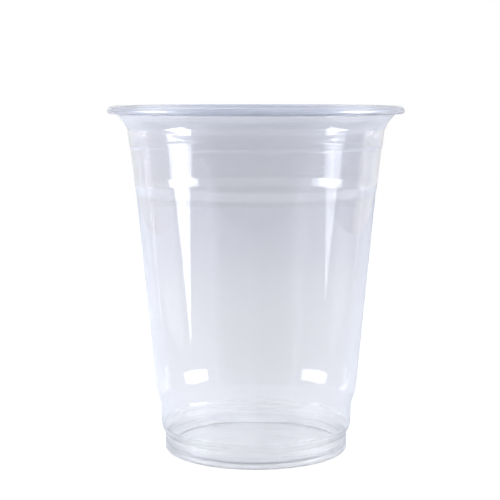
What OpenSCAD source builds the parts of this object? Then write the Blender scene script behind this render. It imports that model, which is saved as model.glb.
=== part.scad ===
// Clear disposable drinking cup: one thermoformed sheet of plastic, turned about Z.
// The whole cup is one strip of sheet seen in section. The strip is described by the corners of
// its middle line, from the centre of the floor to the free edge tucked under the rolled rim.
// Each corner carries the radius of its bend and the thickness that the drawn sheet has there.
// Millimetres, +Z up, origin at the centre of the foot on the table.

/* [Overall] */
// Widest diameter, over the rolled rim
rim_d = 95; // [93:0.5:97]
// Height from the table to the top of the rim
cup_h = 111.5; // [110.6:0.1:112.6]

/* [Foot and floor] */
// Outer diameter of the upright foot ring
foot_d = 59.4; // [58:0.2:60]
// Height of the foot ring, up to the lower shoulder
foot_h = 5.4; // [5:0.05:5.7]
// Width of the ring that stands on the table, its rounded corners included
foot_land = 1.9; // [1.7:0.1:2.6]
// Height of the floor's underside above the table, at the floor's edge
floor_lift = 1.1; // [0.9:0.1:1.6]
// Extra rise of the floor towards its middle
floor_crown = 0.4; // [0:0.1:1]

/* [Body] */
// Diameter on top of the lower shoulder
shoulder_d = 61.2; // [61:0.02:61.5]
// Height of the top of the lower shoulder
shoulder_h = 7.2; // [6.8:0.05:7.4]
// Diameter at the foot of the stacking belt
belt_foot_d = 61.92; // [61.8:0.02:62.1]
// Height of the foot of the stacking belt
belt_foot_h = 8.6; // [8.4:0.05:9]
// Height of the fine step under the belt, where the mould's base insert meets its wall
line_rise = 0.4; // [0.3:0.05:0.6]
// How far that fine step stands out
line_out = 0.11; // [0.06:0.01:0.14]
// Diameter at the top of the stacking belt
belt_d = 62.4; // [62.2:0.02:62.7]
// Height of the top of the stacking belt, where the upper shoulder begins
belt_h = 13.5; // [13:0.1:14]
// Diameter where the upper shoulder turns from its lower slope to its steeper one
ledge_d = 62.9; // [62.7:0.02:63.2]
// Height where the upper shoulder turns to its steeper slope
ledge_h = 15.85; // [15.3:0.05:16.4]
// Diameter on top of the upper shoulder, where the side wall starts
wall_foot_d = 65.48; // [65.1:0.02:65.9]
// Height where the side wall starts
wall_foot_h = 19.9; // [19.2:0.05:20.6]
// Diameter where the wall's taper opens a little
wall_bend_d = 72.82; // [72.4:0.02:73.2]
// Height where the wall's taper opens a little
wall_bend_h = 60.2; // [56:0.2:64]

/* [Fill band] */
// Height of the fill band's lower edge
band_h = 83.6; // [80:0.1:86]
// Upright width of the fill band
band_w = 2.9; // [2:0.1:4]
// How many degrees steeper the fill band leans than the wall above it
band_lean = 3.8; // [1:0.1:5]

/* [Neck and rim] */
// Height of the collar's lower edge, above the stacking step
step_h = 98.95; // [98:0.05:99.4]
// Upright height of the stacking step
step_rise = 0.8; // [0.5:0.05:0.9]
// How far the collar stands out from the wall
step_out = 0.26; // [0.15:0.01:0.35]
// Height where the neck starts to flare
neck_h = 103.4; // [102.8:0.1:104]
// Taper of the upper wall and of the collar, in degrees from upright
upper_taper = 6; // [5:0.1:7]
// Slope at which the flare starts, in degrees from upright
flare_start = 13; // [10:1:18]
// Slope at which the flare meets the rim, in degrees from upright
flare_end = 42; // [38:1:44]
// Radius of the flare's curve
flare_r = 8.9; // [8:0.1:10]
// Height of the rolled rim
rim_h = 2.45; // [2.4:0.05:2.8]
// Slope of the sheet inside the rolled rim, in degrees from upright
rim_lean = 19; // [14:1:24]
// Gap between the rolled sheet's free edge and the neck
rim_gap = 0.14; // [0.1:0.01:0.25]

/* [Sheet] */
// Thickness of the floor, which is drawn least
floor_t = 0.45; // [0.35:0.01:0.55]
// Thickness of the foot and the belt, which are drawn most
foot_t = 0.34; // [0.3:0.01:0.4]
// Thickness of the side wall below the fill band
wall_t = 0.38; // [0.3:0.01:0.42]
// Thickness of the upper wall, the neck and the rolled rim
rim_t = 0.5; // [0.42:0.01:0.55]

/* [Hidden] */
$fn = 180;

// Largest turn, in degrees, that one flat of a bend takes in the section
flat_turn = 7.5;
// Points along the crowned floor, from its centre to its edge
floor_steps = 6;
// Bend where the collar turns into the flare
neck_bend_r = 1.6;
// Clear straight left between two bends that nearly meet
spare = 0.02;

foot_r = (foot_d - foot_t) / 2;
foot_inner_r = foot_d / 2 - foot_land;
heel_r = 0.32;
floor_edge_r = foot_inner_r - 0.45;
floor_z = floor_lift + floor_t / 2;
land_z = foot_t / 2;

// The rolled rim, set out from its widest diameter inwards. The sheet climbs inside the roll
// from its root, goes over the crest, and comes down the outside in a rounder bend.
roll_r = 1.4;
crest_r = 0.95;
hem_r = 0.45;
rim_r = (rim_d - rim_t) / 2;
rim_top_z = cup_h - rim_t / 2;
rim_low_z = cup_h - rim_h + rim_t / 2;
crest_x = rim_r - roll_r - crest_r * tan((90 - rim_lean) / 2) - spare;
root_z = cup_h - 2.5;
root_x = crest_x - (rim_top_z - root_z) * tan(rim_lean);

// The flare and all below it hang from the root of the rim, at their own slopes.
flare_lead = flare_r * tan((flare_end - flare_start) / 2)
    + neck_bend_r * tan((flare_start - upper_taper) / 2) + spare;
flare_z = neck_h + flare_lead * cos(flare_start);
flare_x = root_x - (root_z - flare_z) * tan(flare_end);
neck_x = flare_x - flare_lead * sin(flare_start);
collar_x = neck_x - (neck_h - step_h) * tan(upper_taper);
step_x = collar_x - step_out - step_rise * tan(upper_taper);
step_foot_h = step_h - step_rise;
band_top_h = band_h + band_w;
band_top_x = step_x - (step_foot_h - band_top_h) * tan(upper_taper);
band_foot_x = band_top_x - band_w * tan(upper_taper + band_lean);

// The free edge stops short of the neck's outer face by rim_gap, measured square to that face.
edge_level = rim_low_z + rim_t / 2;
edge_x = root_x + (edge_level - root_z) * tan(rim_lean) + (rim_t / 2 + rim_gap) / cos(rim_lean);

// The crowned floor: an arch of even curvature, flat at the centre.
CROWN = [for (i = [0:floor_steps])
    let (share = i / floor_steps, edge_bend = i == floor_steps ? 0.5 : 0)
    [floor_edge_r * share, floor_z + floor_crown * (1 - share * share), edge_bend, floor_t]];

// Corners of the sheet's middle line: [radius, height, bend radius, thickness].
SECTION = concat(CROWN, [
    [foot_inner_r + 0.15, land_z, 0.4, foot_t],
    [foot_r, land_z, heel_r, foot_t],
    [foot_r, foot_h, 0.4, foot_t],
    [(shoulder_d - foot_t) / 2, shoulder_h, 1.2, foot_t],
    [(belt_foot_d - foot_t) / 2 - line_out, belt_foot_h - line_rise, 0.6, foot_t],
    [(belt_foot_d - foot_t) / 2, belt_foot_h, 0.6, foot_t],
    [(belt_d - foot_t) / 2, belt_h, 3, foot_t],
    [(ledge_d - foot_t) / 2, ledge_h, 5, foot_t],
    [(wall_foot_d - foot_t) / 2, wall_foot_h, 3, foot_t],
    [(wall_bend_d - wall_t) / 2, wall_bend_h, 900, wall_t],
    [band_foot_x, band_h, 0.6, wall_t],
    [band_top_x, band_top_h, 0.6, wall_t],
    [step_x, step_foot_h, 0.5, rim_t],
    [collar_x, step_h, 0.5, rim_t],
    [neck_x, neck_h, neck_bend_r, rim_t],
    [flare_x, flare_z, flare_r, rim_t],
    [root_x, root_z, 1.2, rim_t],
    [crest_x, rim_top_z, crest_r, rim_t],
    [rim_r, rim_top_z, roll_r, rim_t],
    [rim_r, rim_low_z, hem_r, rim_t],
    [edge_x, rim_low_z, 0, rim_t],
]);

// Direction from one corner to the next, in degrees
function heading(a, b) = atan2(b[1] - a[1], b[0] - a[0]);

// Signed turn from one heading to the next, between -180 and 180 degrees
function turn(from, to) = (to - from + 540) % 360 - 180;

// One corner as a list of stations along its bend: [radius, height, heading, thickness]
function bend(before, here, after) =
    let (
        start = heading(before, here),
        swing = turn(start, heading(here, after)),
        side = swing < 0 ? -1 : 1,
        bend_r = here[2],
        back = bend_r * tan(abs(swing) / 2),
        centre_x = here[0] - back * cos(start) - side * bend_r * sin(start),
        centre_z = here[1] - back * sin(start) + side * bend_r * cos(start),
        steps = max(2, ceil(abs(swing) / flat_turn))
    )
    bend_r == 0
        ? [[here[0], here[1], start + swing / 2, here[3]]]
        : [for (i = [0:steps])
            let (h = start + swing * i / steps)
            [centre_x + side * bend_r * sin(h), centre_z - side * bend_r * cos(h), h, here[3]]];

// Stations of the whole strip. It starts level on the axis and ends square at the free edge.
function stations(path) =
    let (n = len(path), first = path[0], last = path[n - 1])
    concat(
        [[first[0], first[1], 0, first[3]]],
        [for (i = [1:n - 2]) each bend(path[i - 1], path[i], path[i + 1])],
        [[last[0], last[1], heading(path[n - 2], last), last[3]]]
    );

// One face of the strip: side 1 is the face on the left of the heading, side -1 the right
function face(list, side) =
    [for (s = list) [
        max(0, s[0] - side * s[3] / 2 * sin(s[2])),
        s[1] + side * s[3] / 2 * cos(s[2])
    ]];

function reversed(list) = [for (i = [len(list) - 1:-1:0]) list[i]];

module cup() {
    strip = stations(SECTION);
    color([0.86, 0.88, 0.95, 0.45])
        rotate_extrude()
            polygon(concat(face(strip, -1), reversed(face(strip, 1))));
}

cup();
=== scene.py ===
import math

import bpy
from mathutils import Matrix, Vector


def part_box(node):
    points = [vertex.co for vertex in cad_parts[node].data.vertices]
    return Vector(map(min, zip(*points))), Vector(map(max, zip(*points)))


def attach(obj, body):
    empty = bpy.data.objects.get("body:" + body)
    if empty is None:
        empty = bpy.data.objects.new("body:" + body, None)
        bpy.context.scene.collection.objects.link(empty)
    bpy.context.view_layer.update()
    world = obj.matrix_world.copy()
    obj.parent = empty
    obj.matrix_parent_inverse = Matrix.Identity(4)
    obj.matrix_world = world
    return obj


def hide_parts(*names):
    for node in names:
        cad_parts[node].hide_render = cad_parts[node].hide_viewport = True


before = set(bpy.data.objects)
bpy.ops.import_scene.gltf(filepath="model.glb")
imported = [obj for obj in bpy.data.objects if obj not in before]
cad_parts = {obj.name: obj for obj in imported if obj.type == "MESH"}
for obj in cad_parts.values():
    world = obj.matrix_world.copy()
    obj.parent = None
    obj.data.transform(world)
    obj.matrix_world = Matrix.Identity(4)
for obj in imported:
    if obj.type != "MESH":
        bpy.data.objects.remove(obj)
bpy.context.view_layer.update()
scene = bpy.context.scene


# The cup. One sheet of clear, slightly milky polypropylene, drawn hot into a mould, so it is one
# piece: foot ring, belt, tapered wall with its fill band, collar and flared neck. The free edge
# was rolled outwards afterwards into the hollow rim bead.

MM = 0.001
cup_low, cup_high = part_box("cup")
rim_r = min(cup_high.x, cup_high.y, -cup_low.x, -cup_low.y) / MM
cup_h = cup_high.z / MM

# Sheet thickness by region, in millimetres like all sizes of the section
floor_t, foot_t, wall_t, rim_t = 0.45, 0.34, 0.38, 0.5

# Outer radius and height of each corner of the section, from the foot to the fill band
foot_r, foot_h = 29.7, 5.4
foot_land, floor_lift, floor_crown = 1.9, 1.1, 0.4
shoulder_r, shoulder_h = 30.6, 7.2
belt_foot_r, belt_foot_h = 30.96, 8.6
line_rise, line_out = 0.4, 0.11
belt_r, belt_h = 31.2, 13.5
ledge_r, ledge_h = 31.45, 15.85
wall_foot_r, wall_foot_h = 32.74, 19.9
wall_bend_r, wall_bend_h = 36.41, 60.2
band_h, band_w, band_lean = 83.6, 2.9, 3.8

# The collar, the flared neck and the rolled rim, whose slopes are in degrees from upright
step_h, step_rise, step_out = 98.95, 0.8, 0.26
neck_h, upper_taper = 103.4, 6.0
neck_bend_r, flare_start, flare_end, flare_r = 1.6, 13.0, 42.0, 8.9
rim_h, rim_lean, rim_gap, root_drop = 2.45, 19.0, 0.14, 2.5
roll_r, crest_r, hem_r, heel_r = 1.4, 0.95, 0.45, 0.32
SPARE = 0.02


def slope(degrees):
    return math.tan(math.radians(degrees))


def section_corners():
    """Corners of the sheet's middle line, from the floor's centre to the rolled edge:
    radius, height, radius of the bend there and thickness of the sheet."""
    edge_in = foot_r - foot_land
    floor_edge, floor_z, land_z = edge_in - 0.45, floor_lift + floor_t / 2, foot_t / 2
    out_r, top_z = rim_r - rim_t / 2, cup_h - rim_t / 2
    low_z = cup_h - rim_h + rim_t / 2
    crest = out_r - roll_r - crest_r * slope((90 - rim_lean) / 2) - SPARE
    root_z = cup_h - root_drop
    root = crest - (top_z - root_z) * slope(rim_lean)
    lead = (flare_r * slope((flare_end - flare_start) / 2)
            + neck_bend_r * slope((flare_start - upper_taper) / 2) + SPARE)
    flare_z = neck_h + lead * math.cos(math.radians(flare_start))
    flare = root - (root_z - flare_z) * slope(flare_end)
    neck = flare - lead * math.sin(math.radians(flare_start))
    collar = neck - (neck_h - step_h) * slope(upper_taper)
    step = collar - step_out - step_rise * slope(upper_taper)
    band_top_h = band_h + band_w
    band_top = step - (step_h - step_rise - band_top_h) * slope(upper_taper)
    band_foot = band_top - band_w * slope(upper_taper + band_lean)
    lean = math.radians(rim_lean)
    edge = root + (low_z + rim_t / 2 - root_z) * math.tan(lean) + (rim_t / 2 + rim_gap) / math.cos(lean)
    crown = []
    for share in (0, 0.2, 0.4, 0.6, 0.8, 1):
        bend = 0.5 if share == 1 else 0
        crown.append((floor_edge * share, floor_z + floor_crown * (1 - share * share), bend, floor_t))
    return crown + [
        (edge_in + 0.15, land_z, 0.4, foot_t),
        (foot_r - foot_t / 2, land_z, heel_r, foot_t),
        (foot_r - foot_t / 2, foot_h, 0.4, foot_t),
        (shoulder_r - foot_t / 2, shoulder_h, 1.2, foot_t),
        (belt_foot_r - foot_t / 2 - line_out, belt_foot_h - line_rise, 0.6, foot_t),
        (belt_foot_r - foot_t / 2, belt_foot_h, 0.6, foot_t),
        (belt_r - foot_t / 2, belt_h, 3, foot_t),
        (ledge_r - foot_t / 2, ledge_h, 5, foot_t),
        (wall_foot_r - foot_t / 2, wall_foot_h, 3, foot_t),
        (wall_bend_r - wall_t / 2, wall_bend_h, 900, wall_t),
        (band_foot, band_h, 0.6, wall_t),
        (band_top, band_top_h, 0.6, wall_t),
        (step, step_h - step_rise, 0.5, rim_t),
        (collar, step_h, 0.5, rim_t),
        (neck, neck_h, neck_bend_r, rim_t),
        (flare, flare_z, flare_r, rim_t),
        (root, root_z, 1.2, rim_t),
        (crest, top_z, crest_r, rim_t),
        (out_r, top_z, roll_r, rim_t),
        (out_r, low_z, hem_r, rim_t),
        (edge, low_z, 0, rim_t),
    ]


def bend_stations(before, here, after):
    """One corner as stations along its bend: radius, height, heading and thickness."""
    start = math.atan2(here[1] - before[1], here[0] - before[0])
    onward = math.atan2(after[1] - here[1], after[0] - here[0])
    swing = (onward - start + math.pi) % math.tau - math.pi
    r, z, bend, sheet = here
    if bend == 0:
        return [(r, z, start + swing / 2, sheet)]
    side = -1 if swing < 0 else 1
    back = bend * math.tan(abs(swing) / 2)
    centre_r = r - back * math.cos(start) - side * bend * math.sin(start)
    centre_z = z - back * math.sin(start) + side * bend * math.cos(start)
    flats = max(4, math.ceil(math.degrees(abs(swing)) / 6))
    headings = [start + swing * i / flats for i in range(flats + 1)]
    return [(centre_r + side * bend * math.sin(h), centre_z - side * bend * math.cos(h), h, sheet)
            for h in headings]


def sheet_stations(corners, longest=4.0, near=0.15):
    """Stations of the whole strip. Straight runs get stations near their ends and every few
    millimetres, which keeps the bends' shading out of the flat stretches."""
    bends = [[(*corners[0][:2], 0.0, corners[0][3])]]
    bends += [bend_stations(*corners[i - 1:i + 2]) for i in range(1, len(corners) - 1)]
    last = math.atan2(corners[-1][1] - corners[-2][1], corners[-1][0] - corners[-2][0])
    bends.append([(*corners[-1][:2], last, corners[-1][3])])
    strip = list(bends[0])
    for bend in bends[1:]:
        a, b = strip[-1], bend[0]
        run = math.hypot(b[0] - a[0], b[1] - a[1])
        if run > 3 * near:
            heading = math.atan2(b[1] - a[1], b[0] - a[0])
            count = max(1, math.ceil((run - 2 * near) / longest))
            shares = [near / run + (1 - 2 * near / run) * i / count for i in range(count + 1)]
            strip += [(a[0] + (b[0] - a[0]) * s, a[1] + (b[1] - a[1]) * s, heading,
                       a[3] + (b[3] - a[3]) * s) for s in shares]
        strip += bend
    return strip


def section_outline(strip):
    """Outline of the sheet: along its outer face from the axis to the free edge, and back
    along its inner face to the axis."""
    faces = []
    for side in (-1, 1):
        faces.append([(max(0.0, r - side * t / 2 * math.sin(h)), z + side * t / 2 * math.cos(h))
                      for r, z, h, t in strip])
    return faces[0] + faces[1][::-1]


outline = section_outline(sheet_stations(section_corners()))
section_mesh = bpy.data.meshes.new("cup_section")
section_mesh.from_pydata([(r * MM, 0, z * MM) for r, z in outline],
                         [(i, i + 1) for i in range(len(outline) - 1)], [])
section = bpy.data.objects.new("cup_section", section_mesh)
scene.collection.objects.link(section)


class Graph:
    """A node tree that is written as expressions."""

    def __init__(self, tree):
        self.tree = tree

    def node(self, kind, settings=None, out=0, **sockets):
        """A node of a kind: its settings first, then the values or links of its sockets,
        named by their labels in lower case with underscores."""
        made = self.tree.nodes.new(kind)
        for key, value in (settings or {}).items():
            if key == "stops":
                fill_ramp(made.color_ramp, value)
            else:
                setattr(made, key, value)
        for label, value in sockets.items():
            wanted = label.replace("_", " ")
            named = [s for s in made.inputs if s.enabled and s.name.lower() == wanted]
            place = named[0] if named else made.inputs[int(label[3:])]
            if isinstance(value, Flow):
                self.tree.links.new(value.socket, place)
            else:
                place.default_value = value
        return Flow(self, made.outputs[out]) if made.outputs else None


def fill_ramp(ramp, stops):
    """Sets a colour ramp's stops from (position, colour) pairs."""
    while len(ramp.elements) < len(stops):
        ramp.elements.new(1.0)
    for element, (position, colour) in zip(ramp.elements, stops):
        element.position = position
        element.color = (*colour, 1) if len(colour) == 3 else colour


class Flow:
    """One output socket. Arithmetic on it adds Math nodes."""

    def __init__(self, graph, socket):
        self.graph = graph
        self.socket = socket

    def math(self, operation, *others):
        values = {f"in_{i}": v for i, v in enumerate((self, *others))}
        return self.graph.node("ShaderNodeMath", {"operation": operation}, **values)

    def __add__(self, other):
        return self.math("ADD", other)

    def __mul__(self, other):
        return self.math("MULTIPLY", other)

    def __truediv__(self, other):
        return self.math("DIVIDE", other)

    def __sub__(self, other):
        return self.math("SUBTRACT", other)

    def __rsub__(self, other):
        return self * -1 + other

    __radd__ = __add__
    __rmul__ = __mul__

    def between(self, low, high):
        """0 at low and 1 at high, smooth, and flat beyond them."""
        settings = {"interpolation_type": "SMOOTHSTEP"}
        return self.graph.node("ShaderNodeMapRange", settings, value=self, from_min=low, from_max=high)

    def output(self, name):
        return Flow(self.graph, self.socket.node.outputs[name])


# The plastic. The photograph is soft at the foot ring and at the rim, so a matt skin is mixed in
# there, with fine level streaks. The tint's stops run up the cup and were fitted to the
# photograph's tones, so a part of them stands for its light and not for the plastic.
clear = bpy.data.materials.new("clear_milky_polypropylene")
clear.use_nodes = True
clear.node_tree.nodes.clear()
plastic = Graph(clear.node_tree)
place = plastic.node("ShaderNodeTexCoord").output("Object")
height = plastic.node("ShaderNodeSeparateXYZ", vector=place).output("Z")
clouds = plastic.node("ShaderNodeTexNoise", vector=place, scale=35.0, detail=3.0)
level = height / (cup_h * MM) + (clouds - 0.5) * 0.02 * height.between(0.0082, 0.03)
# Painted light in these stops: the wall darkens upwards as painted shade, the fill band is lighter as a
# painted reflection of the table, and the foot ring is darker as painted shade. The other stops give the
# bluish milky tone, lighter at the neck and the rim bead.
tint_and_painted_light = plastic.node("ShaderNodeValToRGB", {"stops": [
    (0.014, (0.966, 0.974, 1.0)),
    (0.021, (0.885, 0.893, 0.935)),
    (0.032, (0.885, 0.893, 0.935)),
    (0.039, (0.97, 0.977, 1.0)),
    (0.071, (0.97, 0.977, 1.0)),
    (0.074, (0.925, 0.931, 0.962)),
    (0.12, (0.915, 0.921, 0.952)),
    (0.18, (0.895, 0.90, 0.93)),
    (0.3, (0.882, 0.886, 0.914)),
    (0.45, (0.87, 0.872, 0.904)),
    (0.6, (0.825, 0.828, 0.87)),
    (0.747, (0.808, 0.816, 0.861)),
    (0.753, (0.852, 0.859, 0.904)),
    (0.773, (0.852, 0.859, 0.904)),
    (0.779, (0.806, 0.814, 0.859)),
    (0.905, (0.792, 0.80, 0.852)),
    (0.925, (0.828, 0.834, 0.885)),
    (0.945, (0.778, 0.786, 0.841)),
    (0.958, (0.775, 0.784, 0.84)),
    (0.975, (0.88, 0.89, 0.94)),
    (0.985, (0.86, 0.885, 0.955)),
    (0.995, (0.785, 0.815, 0.905)),
]}, fac=level)
smears = plastic.node("ShaderNodeTexNoise", vector=place, scale=60.0, detail=4.0)
polish = plastic.node("ShaderNodeMapRange", value=smears, to_min=0.005, to_max=0.02)
finish = polish + height.between(0.1075, 0.109) * 0.1
sheet = plastic.node("ShaderNodeBsdfPrincipled", base_color=tint_and_painted_light, roughness=finish, ior=1.49,
                     transmission_weight=0.94)
matt_skin = plastic.node("ShaderNodeBsdfPrincipled", base_color=tint_and_painted_light, roughness=polish + 0.265,
                         ior=1.49, transmission_weight=0.895)
from_middle = plastic.node("ShaderNodeVectorMath", {"operation": "LENGTH"}, out=1, in_0=place)
floor_disc = 1 - from_middle.between(0.0262, 0.027)
flattened = plastic.node("ShaderNodeVectorMath", {"operation": "MULTIPLY"}, in_0=place, in_1=(1, 1, 25))
streaks = plastic.node("ShaderNodeTexNoise", vector=flattened, scale=40.0, detail=3.0)
above_foot = height.between(0.0079, 0.0083)
milky_rim = height.between(0.1083, 0.1094) * 0.5
polished = floor_disc.math("MAXIMUM", above_foot) - milky_rim + streaks.between(0.45, 0.65) * 0.25
zones = plastic.node("ShaderNodeMixShader", in_0=polished, in_1=matt_skin, in_2=sheet)
plastic.node("ShaderNodeOutputMaterial", surface=zones)

# The section is turned about the cup's axis, and both faces of the sheet wander together a
# little, as a sheet does that was drawn by air and not pressed between two tools.
turning = bpy.data.node_groups.new("turn_section_about_axis", "GeometryNodeTree")
inputs = {}
for label, kind in (("Section", "NodeSocketGeometry"), ("Facets around", "NodeSocketInt"),
                    ("Wander", "NodeSocketFloat"), ("Wander scale", "NodeSocketFloat"),
                    ("Still above", "NodeSocketFloat"), ("Plastic", "NodeSocketMaterial")):
    made = turning.interface.new_socket(label, in_out="INPUT", socket_type=kind)
    inputs[label] = made.identifier
turning.interface.new_socket("Cup", in_out="OUTPUT", socket_type="NodeSocketGeometry")
turn = Graph(turning)
given = turn.node("NodeGroupInput")
profile = given.output("Section")
around = given.output("Facets around")
stations = turn.node("GeometryNodeAttributeDomainSize", geometry=profile).output("Point Count")
skin = turn.node("GeometryNodeMeshGrid", vertices_x=around + 1, vertices_y=stations)
index = turn.node("GeometryNodeInputIndex")
spoke = (index / stations).math("FLOOR")
station = index.math("MODULO", stations)
position = turn.node("GeometryNodeInputPosition")
corner = turn.node("GeometryNodeSampleIndex", {"data_type": "FLOAT_VECTOR"},
                   geometry=profile, value=position, index=station)
turned = turn.node("ShaderNodeVectorRotate", {"rotation_type": "Z_AXIS"},
                   vector=corner, angle=spoke / around * math.tau)
radial = turn.node("ShaderNodeVectorMath", {"operation": "MULTIPLY"}, in_0=turned, in_1=(1, 1, 0))
outward = turn.node("ShaderNodeVectorMath", {"operation": "NORMALIZE"}, in_0=radial)
noise = turn.node("ShaderNodeTexNoise", vector=turned, scale=given.output("Wander scale"), detail=1.0)
z = turn.node("ShaderNodeSeparateXYZ", vector=turned).output("Z")
top = given.output("Still above")
ease = z.between(0.008, 0.03) * (1 - z.between(top * 0.86, top))
drift = (noise - 0.5) * given.output("Wander") * ease
shift = turn.node("ShaderNodeVectorMath", {"operation": "SCALE"}, in_0=outward, scale=drift)
moved = turn.node("ShaderNodeVectorMath", {"operation": "ADD"}, in_0=turned, in_1=shift)
body = turn.node("GeometryNodeSetPosition", geometry=skin, position=moved)
closed = turn.node("GeometryNodeMergeByDistance", geometry=body, distance=1e-6)
smooth = turn.node("GeometryNodeSetShadeSmooth", geometry=closed)
real = turn.node("GeometryNodeRealizeInstances", geometry=smooth)
finished = turn.node("GeometryNodeSetMaterial", geometry=real, material=given.output("Plastic"))
turn.node("NodeGroupOutput", cup=finished)

modifier = section.modifiers.new("turned", "NODES")
modifier.node_group = turning
for label, value in (("Facets around", 208), ("Wander", 0.03 * MM), ("Wander scale", 14.0),
                     ("Still above", cup_h * MM), ("Plastic", clear)):
    modifier[inputs[label]] = value
evaluated = section.evaluated_get(bpy.context.evaluated_depsgraph_get())
cup_mesh = bpy.data.meshes.new_from_object(evaluated)
cup_mesh.name = "drinking_cup"
bpy.data.objects.remove(section)
cup = bpy.data.objects.new("drinking_cup", cup_mesh)
scene.collection.objects.link(cup)
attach(cup, "root")
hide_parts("cup")


# The table. A white board 0.7 m wide under the cup, with painted shade that greys it towards the camera
# and darkens it most at its front edge, and a painted glow of light where the cup stands. The upper wall
# mirrors the dark room beyond the edge.

table_front, table_back, table_side = -0.285, 0.9, 0.352
table_mesh = bpy.data.meshes.new("table")
table_mesh.from_pydata([(-table_side, table_front, 0), (table_side, table_front, 0),
                        (table_side, table_back, 0), (-table_side, table_back, 0)],
                       [], [(0, 1, 2, 3)])
table = bpy.data.objects.new("table", table_mesh)
scene.collection.objects.link(table)
board = bpy.data.materials.new("pale_board")
board.use_nodes = True
board.node_tree.nodes.clear()


def compass(*stops):
    """Ramp stops from (azimuth in degrees, colour or grey) pairs. 0 is the camera's side and 90 is
    its right."""
    return [(azimuth_deg / 360 + 0.5, colour if isinstance(colour, tuple) else (colour,) * 3)
            for azimuth_deg, colour in stops]


def blend(graph, factor, a, b, mode="MIX"):
    """Colour a, turned into b or added to it by the factor."""
    settings = {"data_type": "RGBA", "blend_type": mode}
    return graph.node("ShaderNodeMix", settings, out=2, factor=factor, a=a, b=b)


def seen_directly(graph):
    """1 for what the camera sees straight, or through clear plastic, with nothing mirrored."""
    path = graph.node("ShaderNodeLightPath")
    unmirrored = path.output("Glossy Depth").math("LESS_THAN", 0.5)
    through = path.output("Is Transmission Ray") * unmirrored
    return path.output("Is Camera Ray").math("MAXIMUM", through)


lit = Graph(board.node_tree)
across = lit.node("ShaderNodeTexCoord").output("Object")
spot = lit.node("ShaderNodeSeparateXYZ", vector=across)
round_side = spot.output("X").math("ARCTAN2", spot.output("Y") * -1 - 0.07)
# Painted shade: the board greys round the cup, darkest on the camera's side and palest behind.
painted_shade_round_cup = lit.node("ShaderNodeValToRGB", {"stops": compass(
    (-150, (0.90, 0.93, 1.0)), (-75, (0.70, 0.73, 0.79)), (-55, (0.51, 0.54, 0.59)),
    (-35, (0.42, 0.44, 0.48)), (35, (0.42, 0.44, 0.48)), (60, (0.40, 0.42, 0.46)),
    (110, (0.47, 0.50, 0.55)), (150, (0.72, 0.75, 0.81)),
)}, fac=round_side / math.tau + 0.5)
# Painted shade: the board darkens further towards its front edge.
painted_shade_to_front_edge = (spot.output("Y") * -1).between(0.18, -table_front) * 0.55
matt = lit.node("ShaderNodeBsdfDiffuse", color=blend(lit, painted_shade_to_front_edge, painted_shade_round_cup, (0.1, 0.1, 0.12, 1)))
glow = lit.node("ShaderNodeEmission", color=(1, 1, 1, 1), strength=1.1)
from_axis = lit.node("ShaderNodeVectorMath", {"operation": "LENGTH"}, out=1, in_0=across)
# Painted light: beneath the cup the board glows for mirrored rays too, at half the share the camera sees.
painted_glow_beneath = (1 - from_axis.between(0.0275, 0.031)) * 0.5
both = lit.node("ShaderNodeMixShader", in_0=seen_directly(lit).math("MAXIMUM", painted_glow_beneath) * 0.85,
                in_1=matt, in_2=glow)
lit.node("ShaderNodeOutputMaterial", surface=both)
table_mesh.materials.append(board)


# The studio. White all round, but for the dark room on the camera's side, with a pale strip low on
# both side walls, pale slopes under a grey ceiling, and soft lights left and right.

world = bpy.data.worlds.new("studio")
scene.world = world
world.use_nodes = True
world.node_tree.nodes.clear()
air = Graph(world.node_tree)
direction = air.node("ShaderNodeTexCoord").output("Generated")
axes = air.node("ShaderNodeSeparateXYZ", vector=direction)
east, north, up = axes.output("X"), axes.output("Y"), axes.output("Z")
azimuth = east.math("ARCTAN2", north * -1) / math.tau + 0.5


def room_ramp(*stops):
    """The room's colour round the compass."""
    return air.node("ShaderNodeValToRGB", {"stops": compass(*stops)}, fac=azimuth)


room = room_ramp(
    (-150, 1.0), (-122, (1.0, 0.97, 0.93)), (-105, (0.95, 0.98, 1.0)), (-62, (0.5, 0.53, 0.6)),
    (-45, (0.22, 0.22, 0.26)), (-34, (0.03, 0.03, 0.04)), (34, (0.03, 0.03, 0.04)),
    (45, (0.3, 0.3, 0.35)), (60, (0.8, 0.83, 0.9)), (95, 1.0), (120, (0.88, 0.88, 0.9)),
    (160, (0.95, 0.95, 0.97)))
below_table = room_ramp(
    (-140, 1.0), (-114, (1.0, 0.96, 0.94)), (-88, 1.0), (-55, (0.3, 0.3, 0.35)),
    (-38, (0.03, 0.03, 0.04)), (60, (0.1, 0.1, 0.13)), (81, (0.3, 0.3, 0.34)),
    (83, (0.04, 0.06, 0.12)), (106, (0.04, 0.06, 0.12)), (114, (0.8, 0.75, 0.72)), (140, 1.0))
skirting = room_ramp((-125, 0.0), (-112, 0.8), (-98, 0.9), (-92, 0.0),
                     (92, 0.0), (97, 1.2), (115, 1.0), (130, 0.0))
slopes = room_ramp((-170, 0.0), (-150, 0.9), (-70, 0.9), (-55, 0.0),
                   (55, 0.0), (70, 0.9), (150, 0.9), (170, 0.0))
walls = blend(air, up.between(-0.14, -0.05), below_table, room)
walls = blend(air, 1 - up.math("ABSOLUTE").between(0.06, 0.09), walls, skirting, "ADD")
vault = blend(air, up.between(0.5, 0.62), walls, slopes, "ADD")
vault = blend(air, up.between(0.72, 0.88), vault, (0.4, 0.42, 0.48, 1))
white = blend(air, seen_directly(air), vault, (1, 1, 1, 1))
backdrop = air.node("ShaderNodeBackground", color=white, strength=1.0)
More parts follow.
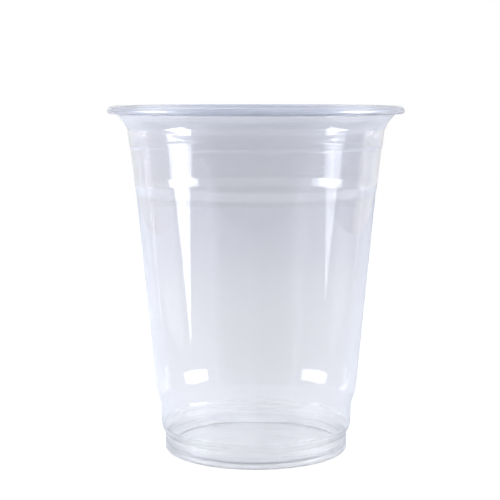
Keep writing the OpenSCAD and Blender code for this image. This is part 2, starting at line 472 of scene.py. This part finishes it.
air.node("ShaderNodeOutputWorld", surface=backdrop)


def soft_light(name, azimuth_deg, elevation_deg, wide_deg, high_deg, radiance, roll_deg=45, distance=1.2):
    """A flat soft light that the cup sees at an angle from the camera's side, with its edges
    wide_deg and high_deg away from its centre. roll_deg turns it about its own centre."""
    lamp = bpy.data.lights.new(name, "AREA")
    lamp.shape = "RECTANGLE"
    lamp.size = 2 * distance * math.tan(math.radians(wide_deg))
    lamp.size_y = 2 * distance * math.tan(math.radians(high_deg))
    lamp.energy = radiance * 4 * lamp.size * lamp.size_y
    lit_from = bpy.data.objects.new(name, lamp)
    around_z, rise = math.radians(azimuth_deg), math.radians(elevation_deg)
    aim_height = 0.06
    lit_from.location = (distance * math.cos(rise) * math.sin(around_z),
                         -distance * math.cos(rise) * math.cos(around_z),
                         distance * math.sin(rise) + aim_height)
    aim = Matrix.Rotation(around_z, 3, "Z") @ Matrix.Rotation(math.pi / 2 - rise, 3, "X")
    lit_from.rotation_euler = (aim @ Matrix.Rotation(math.radians(roll_deg), 3, "Z")).to_euler()
    lit_from.visible_camera = False
    lit_from.visible_transmission = True
    scene.collection.objects.link(lit_from)


soft_light("right_softbox", 82.5, 15.5, 14.4, 14.4, 8.5)
soft_light("right_softbox_centre", 81.5, 15, 10, 10, 4.0, distance=1.25)
soft_light("left_softbox", -84.5, 16.5, 13.2, 13.2, 5.0)
soft_light("left_softbox_centre", -82, 18, 9.3, 9.3, 4.0, distance=1.25)
soft_light("left_softbox_top", -80, 16.7, 19, 4.3, 5.0, roll_deg=0, distance=1.3)


# The camera, level with the rim and looking slightly down, at the photograph's distance.

camera_data = bpy.data.cameras.new("camera")
camera_data.sensor_width = 36.0
camera_data.lens = 96.1
camera_data.shift_x = -0.012
camera_data.shift_y = 0.001
camera = bpy.data.objects.new("camera", camera_data)
camera.location = (0, -0.43054, 0.11652)
camera.rotation_euler = (math.radians(90 - 6.8588), 0, 0)
scene.collection.objects.link(camera)
scene.camera = camera

scene.view_settings.view_transform = "Standard"
